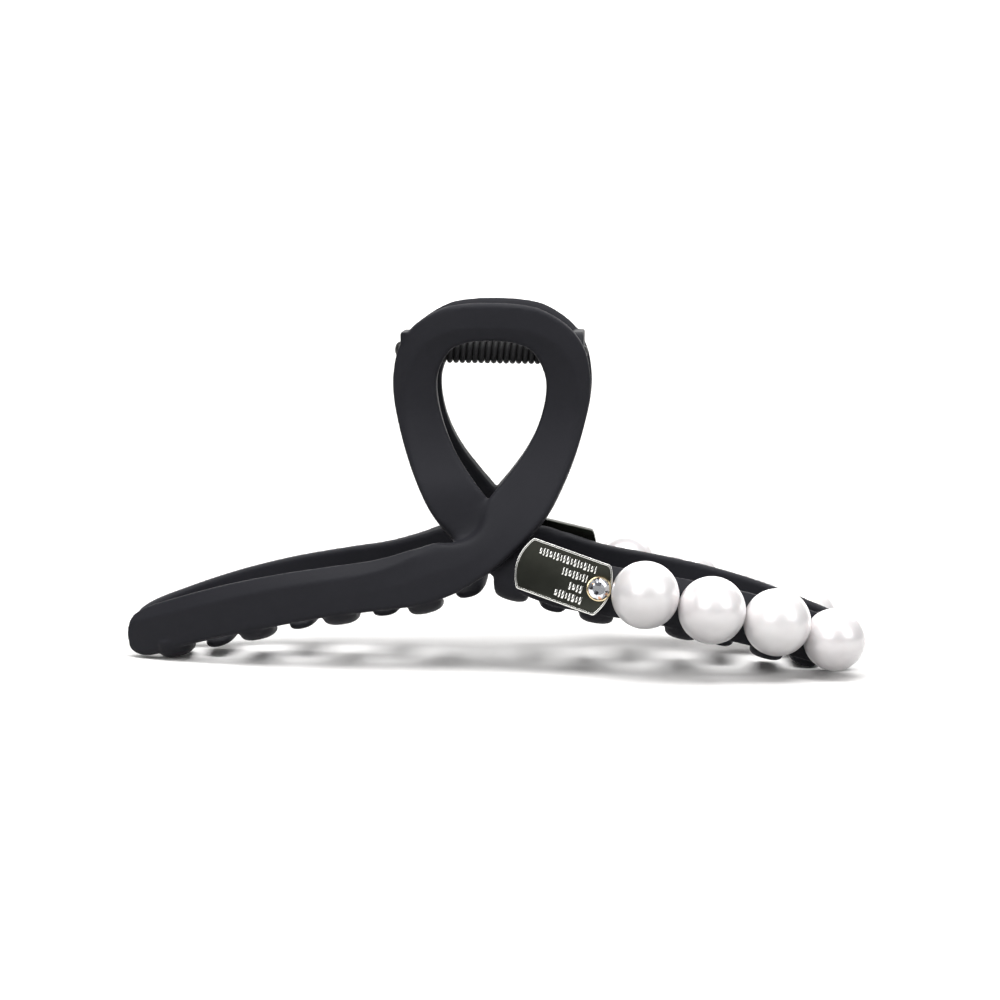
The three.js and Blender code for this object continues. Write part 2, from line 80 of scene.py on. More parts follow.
half_length = 65.0      # from the middle to an arm tip
hinge_height = 55.2     # hinge axis above the lowest tooth line
handle_rise = 7.9       # top edge of the handle above the hinge axis
belly_depth = 15.1      # outer face from the middle plane, at the crossing
tip_depth = 4.2         # the same at the arm tips
waist_depth = 7.0       # and at the waist of the loop
waist_height = 44.16
draw_in_from = 14       # the face begins to draw in to the waist at this height
draw_in_past = 2        # and has done so this far above the waist
handle_flare = 4.6      # how far the handle leans out above the waist
wall = 3.0
under_step = 2.2        # the strand underneath lies this far behind the one on top
under_shift = 0.4       # and its inner edge is moved out by this at the crossing
gap = 0.3               # between pieces that touch


def ease(start, end, value):
    t = min(1.0, max(0.0, (value - start) / (end - start)))
    return t * t * (3 - 2 * t)


def face_depth(x, z):
    """Distance of a jaw's outer face from the middle plane of the clip."""
    along = min(1.06, abs(x) / half_length)
    arm = belly_depth - (belly_depth - tip_depth) * along**3.2
    waist = (belly_depth - waist_depth) * ease(draw_in_from, waist_height + draw_in_past, z)
    lean = max(0.0, z - waist_height) / (hinge_height + handle_rise - waist_height)
    return arm - waist + handle_flare * lean**2


def face_normal(x, z):
    """The way the front jaw's outer face looks at that place."""
    e = 0.05
    dx = (face_depth(x + e, z) - face_depth(x - e, z)) / (2 * e)
    dz = (face_depth(x, z + e) - face_depth(x, z - e)) / (2 * e)
    return Vector((-dx, -1, -dz)).normalized()


def step_back(x, z):
    """How far the strand underneath lies behind the face."""
    near_crossing = 1 - ease(6, 26, abs(x))
    below_loop = 1 - ease(23, 33, z)
    return under_step * near_crossing * below_loop


def in_frame(point):
    """From the clip's own millimetres to the frame's metres."""
    return Vector((
        clip_middle + point[0] * mm,
        middle_plane + point[1] * mm,
        hinge_line + (point[2] - hinge_height) * mm,
    ))


def smooth_line(points, share):
    """Place on a smooth line through the points, share running from 0 to 1."""
    points = [np.array(p, float) for p in points]
    spot = share * (len(points) - 1)
    k = min(int(spot), len(points) - 2)
    t = spot - k
    before = points[k - 1] if k > 0 else 2 * points[0] - points[1]
    after = points[k + 2] if k + 2 < len(points) else 2 * points[-1] - points[-2]
    a, b = points[k], points[k + 1]
    d0, d1, d2 = (max(1e-4, math.dist(p, q)) ** 0.5 for p, q in ((before, a), (a, b), (b, after)))
    slope_a = ((a - before) / d0 - (b - before) / (d0 + d1) + (b - a) / d1) * d1
    slope_b = ((b - a) / d1 - (after - a) / (d1 + d2) + (after - b) / d2) * d1
    return (
        a
        + slope_a * t
        + (3 * (b - a) - 2 * slope_a - slope_b) * t * t
        + (2 * (a - b) + slope_a + slope_b) * t**3
    )


upper_rail = [
    (-65.2, 4.3), (-64.8, 6.7), (-63.1, 8.3), (-55.9, 11.1), (-46.4, 14.0), (-37.3, 16.3),
    (-28.4, 18.0), (-19.6, 19.55), (-13.4, 21.4), (-9.4, 22.8), (-6.2, 22.8), (-3.8, 23.4),
    (-2.0, 24.7), (-1.0, 26.8), (-0.5, 29.4), (2.35, 33.2), (5.3, 37.1), (7.3, 40.5),
    (8.7, 44.0), (9.5, 47.4), (9.55, 50.6), (8.6, 53.4), (6.9, 55.75), (4.2, 56.9),
    (2.0, 57.2), (0.0, 57.25),
]
lower_rail = [
    (-65.2, 3.3), (-64.6, 0.9), (-62.0, 0.1), (-54.5, 2.5), (-45.6, 5.0), (-37.0, 7.1),
    (-28.2, 9.0), (-19.6, 10.3), (-12.2, 11.4), (-8.8, 12.4), (-5.4, 13.8), (-2.6, 15.5),
    (0.4, 17.6), (3.5, 20.2), (6.8, 23.4), (10.3, 27.8), (12.9, 32.8), (14.9, 37.8),
    (16.3, 42.4), (17.25, 46.8), (17.4, 50.8), (16.4, 55.4), (13.8, 59.0), (8.6, 62.1),
    (4.2, 62.9), (0.0, 63.1),
]


def face_outwards():
    """Turns every face of the piece in hand outwards, and leaves edit mode."""
    bpy.ops.mesh.select_all(action="SELECT")
    bpy.ops.mesh.normals_make_consistent(inside=False)
    bpy.ops.object.mode_set(mode="OBJECT")


def wrapped_grid(name, around, rows, spot_of, weld):
    """A closed bar: a grid is wrapped round, its seam welded and its two ends filled."""
    bpy.ops.mesh.primitive_grid_add(x_subdivisions=around, y_subdivisions=rows - 1, size=1)
    bar = bpy.context.object
    bar.name = name
    for v in bar.data.vertices:
        column = round((v.co.x + 0.5) * around) % around
        row = round((v.co.y + 0.5) * (rows - 1))
        v.co = spot_of(row, column)
    bpy.ops.object.mode_set(mode="EDIT")
    bpy.ops.mesh.select_all(action="SELECT")
    bpy.ops.mesh.remove_doubles(threshold=weld)
    bpy.ops.mesh.select_all(action="SELECT")
    bpy.ops.mesh.fill_holes(sides=0)
    face_outwards()
    return bar


def bent_bar(name, rings):
    """A bar of any section, given ring by ring in the clip's millimetres."""
    def spot_of(row, column):
        return in_frame(rings[row][column])

    return wrapped_grid(name, len(rings[0]), len(rings), spot_of, 1e-6)


def filled_outline(points):
    """A flat face with that outline, open for editing."""
    bpy.ops.mesh.primitive_circle_add(vertices=len(points), radius=1, fill_type="NGON")
    plate = bpy.context.object
    for v, point in zip(plate.data.vertices, points):
        v.co = point
    bpy.ops.object.mode_set(mode="EDIT")
    bpy.ops.mesh.select_all(action="SELECT")
    return plate


def pull_out(way):
    """Extrudes the selected face."""
    bpy.ops.mesh.extrude_region_move(TRANSFORM_OT_translate={"value": way})


def work(piece, kind, **settings):
    """Puts a modifier with those settings on the piece in hand, and applies it."""
    step = piece.modifiers.new(kind.lower(), kind)
    for key, value in settings.items():
        setattr(step, key, value)
    bpy.ops.object.modifier_apply(modifier=step.name)


least_bevel = 0.5       # bevel along the outer edges of a strand
arm_bevel = 1.9         # added to its upper bevel on the arm
loop_bevel = 3.0        # added to its lower bevel on the loop
back_bevel = 0.45       # bevel along the edges of its inner side
strand_steps = 150
past_middle = 0.15      # the two strands run into each other by this at the top


def strand(name, side, under):
    """Half of the ribbon, from an arm tip to the top of the handle."""
    rings = []
    for i in range(strand_steps + 1):
        t = i / strand_steps
        upper = smooth_line(upper_rail, t)
        lower = smooth_line(lower_rail, t)
        if under:
            upper[0] += under_shift * ease(22, 28, upper[1]) * (1 - ease(32, 42, upper[1]))
        width = math.dist(upper, lower)
        on_arm = (1 - ease(0.25, 0.385, t)) * ease(0, 0.12, t)
        on_loop = ease(0.6, 0.93, t)
        upper_bevel = min(0.3 * width, least_bevel + arm_bevel * on_arm)
        lower_bevel = min(0.55 * width, least_bevel + loop_bevel * on_loop)
        back = min(back_bevel, 0.2 * width)
        thick = wall * (0.75 + 0.25 * ease(0, 0.08, t))
        # across the strand from its upper edge, and in from its face
        profile = [
            (upper_bevel, 0), ((upper_bevel + width - lower_bevel) / 2, -0.04), (width - lower_bevel, 0),
            (width - 0.5 * lower_bevel, 0.17 * lower_bevel + 0.1), (width, 0.35 + 0.34 * lower_bevel),
            (width, thick - back), (width - 0.3 * back, thick - 0.3 * back), (width - back, thick),
            (width * 0.5, thick), (back, thick), (0.3 * back, thick - 0.3 * back),
            (0, thick - back), (0, 0.2 + 0.5 * upper_bevel),
            (0.5 * upper_bevel, 0.1 + 0.25 * upper_bevel),
        ]
        ring = []
        for across, inward in profile:
            x, z = upper + (lower - upper) * (across / width)
            x = side * (x - (past_middle if i == strand_steps else 0))
            recess = step_back(x, z) if under else 0
            ring.append(Vector((x, recess - face_depth(x, z), z)) - face_normal(x, z) * inward)
        rings.append(ring)
    return bent_bar(name, rings)


def lower_edge(x):
    """Height and slope of an arm's lower edge at that place along the clip."""
    low, high = 0.0, 0.55
    for _ in range(30):
        half = (low + high) / 2
        if smooth_line(lower_rail, half)[0] < -abs(x):
            low = half
        else:
            high = half
    here = smooth_line(lower_rail, low)
    on = smooth_line(lower_rail, low + 0.01)
    slope = math.atan2(on[1] - here[1], on[0] - here[0])
    return here[1], slope if x < 0 else -slope


tooth_count = 8
tooth_pitch = 15.0
row_shift = 0.233       # shift of the row, in pitches, so that the two rows interleave
tooth_width = 6.4
tooth_thickness = 2.9
tooth_drop = 2.4        # how far the belly of a tooth hangs below the arm
tooth_tip_drop = 3.4    # and its tip
shallow_tooth = 0.3     # share of both that the outermost teeth lose
tooth_reach = 3.0       # how far a tip passes the middle plane
tooth_root_from = 5.0   # nearer the middle than this, a tooth hangs as it does here
steepest_tooth = 0.25   # largest sideways slope, in radians


def tooth(x):
    """A curved tongue from the arm's lower edge, down and in to the middle plane."""
    root, slope = lower_edge(math.copysign(max(tooth_root_from, abs(x)), x))
    slope = max(-steepest_tooth, min(steepest_tooth, slope))
    hang = 1 - shallow_tooth * ease(45, 58, abs(x))
    depth = face_depth(x, root) - (step_back(x, root) if x > 0 else 0) - wall / 2
    across_way = Vector((math.cos(slope), 0, math.sin(slope)))
    handles = [
        Vector((x, -depth, root + 1.6)),
        Vector((x, -depth, root - 1.4)),
        Vector((x, -depth * 0.62, root - hang * tooth_drop + tooth_thickness * 0.4)),
        Vector((x, tooth_reach, root - hang * tooth_tip_drop + tooth_thickness * 0.42)),
    ]
    rings = []
    steps = 26
    for i in range(steps + 1):
        t = i / steps
        s = 1 - t
        point = (
            handles[0] * s**3 + handles[1] * (3 * s * s * t)
            + handles[2] * (3 * s * t * t) + handles[3] * t**3
        )
        along = (
            (handles[1] - handles[0]) * (3 * s * s) + (handles[2] - handles[1]) * (6 * s * t)
            + (handles[3] - handles[2]) * (3 * t * t)
        ).normalized()
        up = along.cross(across_way).normalized()
        end = math.sqrt(max(0.0, 1 - t**9))
        half = tooth_width / 2 * (1 - 0.1 * t) * (0.35 + 0.65 * end)
        thick = tooth_thickness / 2 * (1 - 0.2 * t) * (0.4 + 0.6 * end)
        ring = []
        for k in range(16):
            turn = 2 * math.pi * k / 16
            c, d = math.cos(turn), math.sin(turn)
            wide = math.copysign(abs(c) ** 0.85, c) * half
            high = math.copysign(abs(d) ** 0.85, d) * thick
            ring.append(point + across_way * wide + up * high)
        rings.append(ring)
    return bent_bar("tooth", rings)


lug_radius = 3.6
lug_thickness = 2.2
lug_outer_face = 16.0
lug_play = 0.4          # between an outer lug and the inner lug beside it
web_above = 3.2         # the web meets the wall this far above the hinge axis
web_below = 6.5         # and this far below it
bore_radius = 1.4


def lug(from_x, to_x):
    """A hinge eye with its web: a plate cut out to the outline, pulled to its thickness, bored."""
    x = (from_x + to_x) / 2
    outline = [
        (1.2 - face_depth(x, hinge_height + web_above), hinge_height + lug_radius),
        (0, hinge_height + lug_radius),
    ]
    for k in range(1, 15):
        turn = math.radians(90 - 150 * k / 14)
        outline.append((lug_radius * math.cos(turn), hinge_height + lug_radius * math.sin(turn)))
    outline.append((1.4 - face_depth(x, hinge_height - web_below), hinge_height - web_below))
    outline.append((1.2 - face_depth(x, hinge_height), hinge_height))
    plate = filled_outline([in_frame((from_x, y, z)) for y, z in outline])
    pull_out(((to_x - from_x) * mm, 0, 0))
    face_outwards()
    bpy.ops.mesh.primitive_cylinder_add(
        vertices=48, radius=bore_radius * mm, depth=10 * mm,
        location=in_frame((x, 0, hinge_height)), rotation=(0, math.pi / 2, 0),
    )
    drill = bpy.context.object
    bpy.context.view_layer.objects.active = plate
    work(plate, "BOOLEAN", operation="DIFFERENCE", object=drill)
    bpy.data.objects.remove(drill)
    return plate


def join(pieces, name):
    bpy.ops.object.select_all(action="DESELECT")
    for piece in pieces:
        piece.select_set(True)
    bpy.context.view_layer.objects.active = pieces[0]
    bpy.ops.object.join()
    whole = bpy.context.object
    whole.name = name
    bpy.ops.object.transform_apply(location=True, rotation=True, scale=True)
    return whole


inner_lug = lug_outer_face - 2 * lug_thickness - lug_play
moulded = [
    strand("over_strand", 1, False),
    strand("under_strand", -1, True),
    lug(-lug_outer_face, -lug_outer_face + lug_thickness),
    lug(inner_lug, inner_lug + lug_thickness),
]
for count in range(tooth_count):
    moulded.append(tooth((count - (tooth_count - 1) / 2 - row_shift) * tooth_pitch))
front_jaw = join(moulded, "front_jaw_moulding")

# the pieces are fused, and the inside corners filled, as in one moulding
work(front_jaw, "REMESH", mode="VOXEL", voxel_size=0.3 * mm)
work(front_jaw, "SMOOTH", factor=0.5, iterations=2)

# where the upper strand lies over the lower one the step is filled to a wide hollow
hollow = front_jaw.vertex_groups.new(name="hollow")
hollow_line = [(-10.5, 22.4), (-8.0, 22.8), (-6.2, 22.8), (-3.8, 23.4), (-2.0, 24.7), (-1.0, 26.8)]
hollow_core = 1.2       # filled in full this near the line
hollow_reach = 3.4      # and not at all further from it than this
for v in front_jaw.data.vertices:
    x = (v.co.x - clip_middle) / mm
    z = (v.co.z - hinge_line) / mm + hinge_height
    on_inner_side = v.co.y > middle_plane - 9 * mm
    if on_inner_side or abs(x + 5) > 9 or abs(z - 24) > 7:
        continue
    spot = Vector((x, z))
    away = math.inf
    for a, b in zip(hollow_line, hollow_line[1:]):
        a, b = Vector(a), Vector(b)
        share = max(0.0, min(1.0, (spot - a).dot(b - a) / (b - a).length_squared))
        away = min(away, (spot - a - (b - a) * share).length)
    if away < hollow_reach:
        hollow.add([v.index], 1 - ease(hollow_core, hollow_reach, away), "REPLACE")
work(front_jaw, "SMOOTH", factor=0.6, iterations=90, vertex_group="hollow")
front_jaw.vertex_groups.clear()
bpy.ops.object.shade_smooth()

back_jaw = front_jaw.copy()
back_jaw.data = front_jaw.data.copy()
back_jaw.name = "back_jaw_moulding"
bpy.context.collection.objects.link(back_jaw)
about_middle = Matrix.Translation((clip_middle, middle_plane, 0))
back_jaw.data.transform(about_middle @ Matrix.Rotation(math.pi, 4, "Z") @ about_middle.inverted())


def new_material(name):
    material = bpy.data.materials.new(name)
    material.use_nodes = True
    tree = material.node_tree
    return material, tree, tree.nodes["Principled BSDF"]


def grain(tree, shader, scale, depth, rough_low, rough_high):
    """Fine unevenness in the surface, and a slow drift of its gloss, which is handed back."""
    place = tree.nodes.new("ShaderNodeTexCoord")
    fine = tree.nodes.new("ShaderNodeTexNoise")
    fine.inputs["Scale"].default_value = scale
    fine.inputs["Detail"].default_value = 3
    tree.links.new(place.outputs["Object"], fine.inputs["Vector"])
    bump = tree.nodes.new("ShaderNodeBump")
    bump.inputs["Strength"].default_value = 0.5
    bump.inputs["Distance"].default_value = depth
    tree.links.new(fine.outputs["Fac"], bump.inputs["Height"])
    tree.links.new(bump.outputs["Normal"], shader.inputs["Normal"])
    slow = tree.nodes.new("ShaderNodeTexNoise")
    slow.inputs["Scale"].default_value = 60
    slow.inputs["Detail"].default_value = 4
    tree.links.new(place.outputs["Object"], slow.inputs["Vector"])
    gloss = tree.nodes.new("ShaderNodeMapRange")
    gloss.inputs["From Min"].default_value = 0.3
    gloss.inputs["From Max"].default_value = 0.7
    gloss.inputs["To Min"].default_value = rough_low
    gloss.inputs["To Max"].default_value = rough_high
    tree.links.new(slow.outputs["Fac"], gloss.inputs["Value"])
    tree.links.new(gloss.outputs["Result"], shader.inputs["Roughness"])
    return slow


def two_tone(tree, shader, slow, dark, light):
    """A slight drift of colour over the surface."""
    ramp = tree.nodes.new("ShaderNodeValToRGB")
    ramp.color_ramp.elements[0].position = 0.35
    ramp.color_ramp.elements[0].color = (*dark, 1)
    ramp.color_ramp.elements[1].position = 0.65
    ramp.color_ramp.elements[1].color = (*light, 1)
    tree.links.new(slow.outputs["Fac"], ramp.inputs["Fac"])
    tree.links.new(ramp.outputs["Color"], shader.inputs["Base Color"])


soft_black, tree, shader = new_material("soft_touch_black_plastic")
slow = grain(tree, shader, 2600, 0.00003, 0.5, 0.6)
two_tone(tree, shader, slow, (0.0165, 0.0166, 0.0205), (0.0195, 0.0196, 0.024))
shader.inputs["Specular IOR Level"].default_value = 0.12
for jaw, body, node in (
    (front_jaw, "front_half", "front_jaw"),
    (back_jaw, "back_half", "back_jaw"),
):
    jaw.data.materials.clear()
    jaw.data.materials.append(soft_black)
    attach(jaw, body)
    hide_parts(node)

# ---------------------------------------------------------------------------------------------
# Hinge pin: blackened steel wire, pushed through the four lugs, with a domed head at the left
# and a chamfered end at the right.
# ---------------------------------------------------------------------------------------------
pin_radius = 1.1
head_radius = 1.45
head_length = 1.3
head_base = -lug_outer_face - gap
pin_profile = [(head_base - head_length, 0.05)]
for k in range(1, 9):
    turn = math.radians(90 * k / 8)
    pin_profile.append((
        head_base - 0.35 - (head_length - 0.35) * math.cos(turn),
        head_radius * math.sin(turn),
    ))
pin_profile += [
    (head_base - 0.08, head_radius), (head_base, head_radius - 0.1), (head_base, pin_radius),
    (head_base + 0.2, pin_radius), (lug_outer_face + 0.25, pin_radius),
    (lug_outer_face + 0.5, pin_radius - 0.2), (lug_outer_face + 0.6, pin_radius - 0.4),
    (lug_outer_face + 0.6, 0.05),
]
pin_sides = 32
pin_rings = []
for x, radius in pin_profile:
    ring = []
    for k in range(pin_sides):
        turn = 2 * math.pi * k / pin_sides
        ring.append((x, radius * math.cos(turn), hinge_height + radius * math.sin(turn)))
    pin_rings.append(ring)
pin = bent_bar("pin_with_domed_head", pin_rings)
bpy.ops.object.shade_smooth_by_angle(angle=math.radians(40))
blackened_steel, tree, shader = new_material("blackened_steel")
slow = grain(tree, shader, 1500, 0.00002, 0.3, 0.42)
two_tone(tree, shader, slow, (0.012, 0.012, 0.013), (0.03, 0.029, 0.028))
shader.inputs["Metallic"].default_value = 0.6
pin.data.materials.append(blackened_steel)
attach(pin, "back_half")
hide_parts("hinge_pin")

# ---------------------------------------------------------------------------------------------
# Torsion spring: black coated wire wound close round the pin, with a straight leg at each end
# that lies behind a handle. In the real clip the left leg bears on the back jaw and the right on
# the front, so the coil winds up as the clip opens; this wire is drawn at rest and joined to neither
# jaw.
# ---------------------------------------------------------------------------------------------
wire_radius = 0.54
coil_radius = 1.76
coil_turns = 18
leg_length = 6.0
coil_half = inner_lug - gap - 0.6
leg_top = hinge_height + leg_length
handle_wall = wall * 1.12       # measured level, through the leaning handle
leg_stand = face_depth(coil_half, leg_top) - handle_wall - 0.9
leg_steps = 9
line = []
for k in range(leg_steps):
    share = k / leg_steps
    line.append(Vector((
        -coil_half,
        leg_stand + (coil_radius - leg_stand) * share,
        leg_top + (hinge_height - leg_top) * share,
    )))
per_turn = 26
for k in range(int((coil_turns + 0.5) * per_turn) + 1):
    turn = k / per_turn
    line.append(Vector((
        -coil_half + 2 * coil_half * turn / (coil_turns + 0.5),
        coil_radius * math.cos(2 * math.pi * turn),
        hinge_height - coil_radius * math.sin(2 * math.pi * turn),
    )))
for k in range(1, leg_steps + 1):
    share = k / leg_steps
    line.append(Vector((
        coil_half,
        -coil_radius + (coil_radius - leg_stand) * share,
        hinge_height + (leg_top - hinge_height) * share,
    )))


def wire_rings(points, radius, sides):
    """Round rings square to the line, each with its first corner nearest the clip's length."""
    rings = []
    for k, point in enumerate(points):
        along = (points[min(k + 1, len(points) - 1)] - points[max(k - 1, 0)]).normalized()
        across = Vector((1, 0, 0)) - along * along.x
        across.normalize()
        other = along.cross(across)
        rings.append([
            point
            + across * (radius * math.cos(2 * math.pi * s / sides))
            + other * (radius * math.sin(2 * math.pi * s / sides))
            for s in range(sides)
        ])
    return rings


spring = bent_bar("torsion_spring_wire", wire_rings(line, wire_radius, 10))
bpy.ops.object.shade_smooth()
black_wire, tree, shader = new_material("black_coated_wire")
slow = grain(tree, shader, 3000, 0.00001, 0.45, 0.6)
two_tone(tree, shader, slow, (0.008, 0.008, 0.009), (0.016, 0.016, 0.017))
shader.inputs["Specular IOR Level"].default_value = 0.2
spring.data.materials.append(black_wire)
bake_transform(spring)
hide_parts("torsion_spring")

# ---------------------------------------------------------------------------------------------
# Dog tags: small die-cast plates in polished dark nickel, with straight long sides, bulging
# short ends, a raised bright rim and rows of raised bars. Glued flat on one arm of each jaw.
# ---------------------------------------------------------------------------------------------
tag_length = 17.2
tag_height = 9.3
tag_thickness = 1.3
tag_bulge = 1.5
rim_width = 0.4
relief = 0.3
field = tag_thickness - relief
stone_radius = 1.9
stone_inset = 2.15      # middle of the stone from the outer end of the tag
stone_along = tag_length / 2 - stone_inset
stone_rise = 0.1


def on_jaw(node, tilt, side):
    """The place of a flat piece: X along it, Y up the jaw, Z out of the face."""
    low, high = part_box(node)
    x = ((low.x + high.x) / 2 - clip_middle) / mm
    z = ((low.z + high.z) / 2 - hinge_line) / mm + hinge_height
    normal = face_normal(x, z)
    along = (Vector((1, 0, 0)) - normal * normal.x).normalized()
    up = normal.cross(along)
    turn = math.radians(tilt)
    a = along * math.cos(turn) - up * math.sin(turn)
    b = up * math.cos(turn) + along * math.sin(turn)
    spot = in_frame(Vector((x, -face_depth(x, z), z)) + normal * gap)
    place = Matrix((
        (a.x, b.x, normal.x, spot.x),
        (a.y, b.y, normal.y, spot.y),
        (a.z, b.z, normal.z, spot.z),
        (0, 0, 0, 1),
    ))
    mirror = Matrix.Translation((0, middle_plane * (1 - side), 0)) @ Matrix.Diagonal((1, side, 1, 1))
    return mirror @ place @ Matrix.Diagonal((mm, mm, mm, 1))


def settle(piece, place):
    """Puts a finished piece at its place on the jaw, in its mesh."""
    piece.data.transform(place)
    if place.determinant() < 0:
        piece.data.flip_normals()


def tag_outline():
    """The short ends are arcs, the long sides are straight, the corners a little rounded."""
    half = tag_height / 2
    corner = tag_length / 2 - tag_bulge
    end = [(corner - 0.35, -1.0), (corner - 0.05, -0.985)]
    for k in range(17):
        share = 0.93 * (k / 8 - 1)
        end.append((corner + tag_bulge * (1 - share * share), share))
    end += [(corner - 0.05, 0.985), (corner - 0.35, 1.0)]
    return [(x, half * y) for x, y in end] + [(-x, -half * y) for x, y in end]


nickel_bright, tree, shader = new_material("polished_nickel_rim")
slow = grain(tree, shader, 900, 0.00001, 0.1, 0.2)
two_tone(tree, shader, slow, (0.72, 0.72, 0.69), (0.82, 0.82, 0.79))
shader.inputs["Metallic"].default_value = 1.0
nickel_dark, tree, shader = new_material("dark_nickel_field")
slow = grain(tree, shader, 700, 0.00002, 0.22, 0.36)
two_tone(tree, shader, slow, (0.028, 0.029, 0.024), (0.05, 0.052, 0.044))
shader.inputs["Metallic"].default_value = 1.0

# rows of bars: height on the tag, start and end
tag_rows = [
    (2.95, -5.4, 5.1),
    (0.95, -0.5, 4.0),
    (-1.1, 1.4, 4.0),
    (-2.95, -0.6, 4.7),
]
bar_widths = [0.42, 0.26, 0.36, 0.5, 0.3]
bar_space = 0.26
tall_bar = 1.35
short_bar = 1.05


def tag(name):
    """A plate with its face sunk inside the rim, and rows of uneven bars on the face."""
    plate = filled_outline([(x, y, 0) for x, y in tag_outline()])
    plate.name = name
    pull_out((0, 0, tag_thickness))
    bpy.ops.mesh.inset(thickness=rim_width)
    pull_out((0, 0, -relief))
    face_outwards()
    plate.data.materials.append(nickel_bright)
    plate.data.materials.append(nickel_dark)
    for face in plate.data.polygons:
        if face.center.z < tag_thickness - 0.05:
            face.material_index = 1
    work(plate, "BEVEL", width=0.1, segments=3, limit_method="ANGLE")

    parts = [plate]
    for row, (height, start, end) in enumerate(tag_rows):
        x = start
        k = row
        while x < end - 0.2:
            width = min(bar_widths[k % len(bar_widths)], end - x)
            bpy.ops.mesh.primitive_cube_add(size=1, location=(x + width / 2, height, field + 0.05))
            block = bpy.context.object
            block.scale = (width, tall_bar if k % 3 else short_bar, 2 * relief)
            bpy.ops.object.transform_apply(location=True, rotation=True, scale=True)
            block.data.materials.append(nickel_bright)
            work(block, "BEVEL", width=0.07, segments=2)
            parts.append(block)
            x += width + bar_space
            k += 1
    whole = join(parts, name)
    bpy.ops.object.shade_smooth_by_angle(angle=math.radians(35))
    return whole


tag_places = {
    "front": on_jaw("front_tag", 18.8, 1),
    "back": on_jaw("back_tag", 13.0, -1),
}
for row_name, place in tag_places.items():
    piece = tag(row_name + "_dog_tag")
    settle(piece, place)
    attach(piece, row_name + "_half")
    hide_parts(row_name + "_tag")

# ---------------------------------------------------------------------------------------------
# Stone cups: pressed rings in pale gold plating, one on the outer end of each tag, with the rim
# rolled over the edge of the stone.
# ---------------------------------------------------------------------------------------------
cup_radius = stone_radius + 0.22
gold_plate, tree, shader = new_material("pale_gold_plating")
slow = grain(tree, shader, 900, 0.00001, 0.12, 0.24)
two_tone(tree, shader, slow, (0.62, 0.5, 0.3), (0.78, 0.66, 0.44))
shader.inputs["Metallic"].default_value = 1.0


def turned(name, profile, sides):
    """A turned piece at the stone's place, drawn in the tag's own millimetres. Each row of the
    profile has its radius, its height, and its twist as a share of one side."""
    def spot_of(row, column):
        radius, height, twist = profile[row]
        turn = 2 * math.pi * (column + twist) / sides
        return (stone_along + radius * math.cos(turn), stone_rise + radius * math.sin(turn), height)

    return wrapped_grid(name, sides, len(profile), spot_of, 1e-5)


for row_name, place in tag_places.items():
    cup = turned(row_name + "_cup", [
        (0.1, field - 0.05, 0),
        (cup_radius - 0.15, field - 0.05, 0),
        (cup_radius + 0.05, field + 0.1, 0),
        (cup_radius + 0.1, field + 0.75, 0),
        (cup_radius + 0.02, field + 0.95, 0),
        (cup_radius - 0.16, field + 1.0, 0),
        (cup_radius - 0.26, field + 0.92, 0),
        (cup_radius - 0.24, field + 0.25, 0),
        (cup_radius - 0.5, field + 0.12, 0),
        (0.1, field + 0.12, 0),
    ], 48)
    bpy.ops.object.shade_smooth_by_angle(angle=math.radians(50))
    cup.data.materials.append(gold_plate)
    settle(cup, place)
    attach(cup, row_name + "_half")
    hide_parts(row_name + "_stone_cup")

# ---------------------------------------------------------------------------------------------
# Stones: round brilliant-cut crystals with a foiled back. The crown's facets stand out of the
# cup; no foil is drawn: its dark, bright and orange glints are painted reflections, set in cells of the
# base colour.
# ---------------------------------------------------------------------------------------------
# painted reflections: the stone's facets get dark, bright and orange glints in their base colour
crystal_painted_glints, tree, shader = new_material("crystal_with_painted_glints")
place = tree.nodes.new("ShaderNodeTexCoord")
painted_glint_cells = tree.nodes.new("ShaderNodeTexVoronoi")
painted_glint_cells.inputs["Scale"].default_value = 1400
tree.links.new(place.outputs["Object"], painted_glint_cells.inputs["Vector"])
split = tree.nodes.new("ShaderNodeSeparateColor")
tree.links.new(painted_glint_cells.outputs["Color"], split.inputs["Color"])
# painted highlights and reflections: the ramp gives each cell near-black, pale, grey, white or orange
glint = tree.nodes.new("ShaderNodeValToRGB")
glint.color_ramp.interpolation = "CONSTANT"
glint.color_ramp.elements[0].color = (0.07, 0.07, 0.08, 1)
glint.color_ramp.elements[1].position = 0.22
glint.color_ramp.elements[1].color = (0.8, 0.82, 0.86, 1)
for position, colour in (
    (0.55, (0.35, 0.36, 0.4, 1)),
    (0.68, (0.95, 0.96, 1, 1)),
    (0.94, (0.8, 0.42, 0.25, 1)),
):
    stop = glint.color_ramp.elements.new(position)
    stop.color = colour
tree.links.new(split.outputs["Red"], glint.inputs["Fac"])
tree.links.new(glint.outputs["Color"], shader.inputs["Base Color"])
shader.inputs["Metallic"].default_value = 0.75
shader.inputs["Roughness"].default_value = 0.04
shader.inputs["Coat Weight"].default_value = 1.0
shader.inputs["Coat Roughness"].default_value = 0.02

girdle = field + 0.85
for row_name, place in tag_places.items():
    stone = turned(row_name + "_crystal", [
        (0.05, field + 0.2, 0),
        (stone_radius * 0.5, field + 0.2, 0),
        (stone_radius * 0.96, girdle - 0.1, 0),
        (stone_radius, girdle, 0),
        (stone_radius * 0.98, girdle + 0.1, 0.5),
        (stone_radius * 0.8, girdle + 0.4, 0),
        (stone_radius * 0.56, girdle + 0.62, 0.5),
        (0.05, girdle + 0.64, 0.5),
    ], 16)
    work(stone, "TRIANGULATE")
    bpy.ops.object.shade_flat()
    stone.data.materials.append(crystal_painted_glints)
    settle(stone, place)
    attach(stone, row_name + "_half")
    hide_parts(row_name + "_stone")

